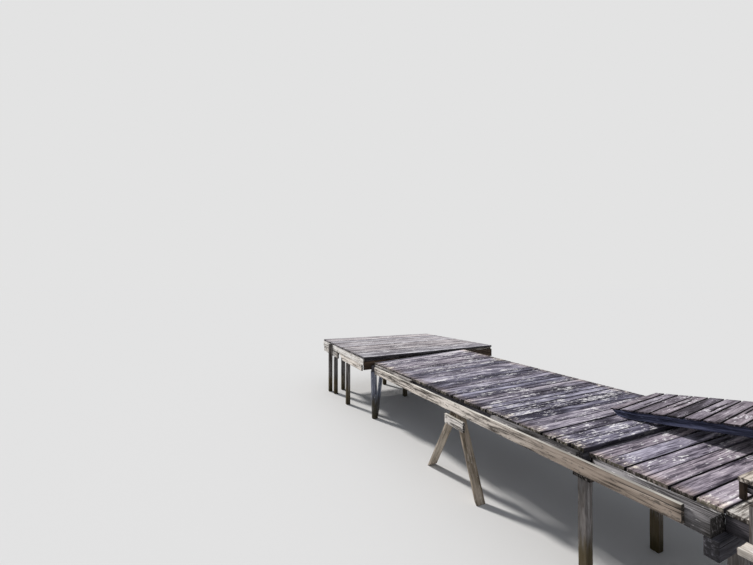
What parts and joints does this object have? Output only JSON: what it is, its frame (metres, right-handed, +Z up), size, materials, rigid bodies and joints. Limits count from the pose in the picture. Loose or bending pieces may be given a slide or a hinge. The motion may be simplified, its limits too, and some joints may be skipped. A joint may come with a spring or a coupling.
{
  "type": "wooden jetty",
  "caption": "Weathered plank jetty on posts and trestles, with a square head over the water, a lower shore deck, a low landing and a gangway ramp.",
  "frame": {"origin": "centre of the jetty's plan on the level floor that its feet stand on", "axes": "+X along the walkway toward the shore, +Y across it, +Z up"},
  "size_m": [10.3142, 3.764, 1.7642],
  "materials": {
    "deck_wood": "weathered silver-grey softwood, rough",
    "bleached_wood": "sun-bleached softwood, rough",
    "beam_wood": "weathered tan softwood, rough",
    "shaded_wood": "dark weathered softwood, rough",
    "pile_wood": "damp dark softwood with algae near the foot"
  },
  "bodies": {
    "root": {"head_planks": "deck_wood", "head_rims": "bleached_wood", "head_joists": "shaded_wood", "head_beam_near_shore": "bleached_wood", "head_beam_near_lake": "bleached_wood", "head_beam_far": "bleached_wood", "head_cross_shore": "shaded_wood", "head_cross_lake": "shaded_wood", "head_bearers": "shaded_wood", "head_piles_near": "pile_wood", "head_piles_inner": "pile_wood", "head_piles_far": "pile_wood", "walkway_planks_lake": "deck_wood", "walkway_planks_shore": "deck_wood", "walkway_headers": "shaded_wood", "joist_near": "shaded_wood", "joist_middle": "shaded_wood", "joist_far": "shaded_wood", "packing_timbers": "shaded_wood", "outer_beam_near": "beam_wood", "outer_beam_far": "beam_wood", "log_posts": "pile_wood", "log_props": "pile_wood", "trestle_legs": "shaded_wood", "trestle_boards": "bleached_wood", "trestle_ridge": "shaded_wood", "shore_bent_cap": "shaded_wood", "shore_bent_posts": "pile_wood", "lower_deck_planks": "deck_wood", "lower_deck_stringers": "deck_wood", "apron_boards": "bleached_wood", "apron_stringers": "shaded_wood", "apron_bearers": "shaded_wood", "apron_posts": "pile_wood", "corner_posts": "pile_wood", "side_step_boards": "bleached_wood", "side_step_rails": "shaded_wood", "side_step_legs": "pile_wood", "landing_boards": "bleached_wood", "landing_rails": "shaded_wood", "landing_posts": "pile_wood", "ramp_planks": "deck_wood", "ramp_stringers": "shaded_wood", "ramp_rest": "shaded_wood"}
  },
  "joints": []
}
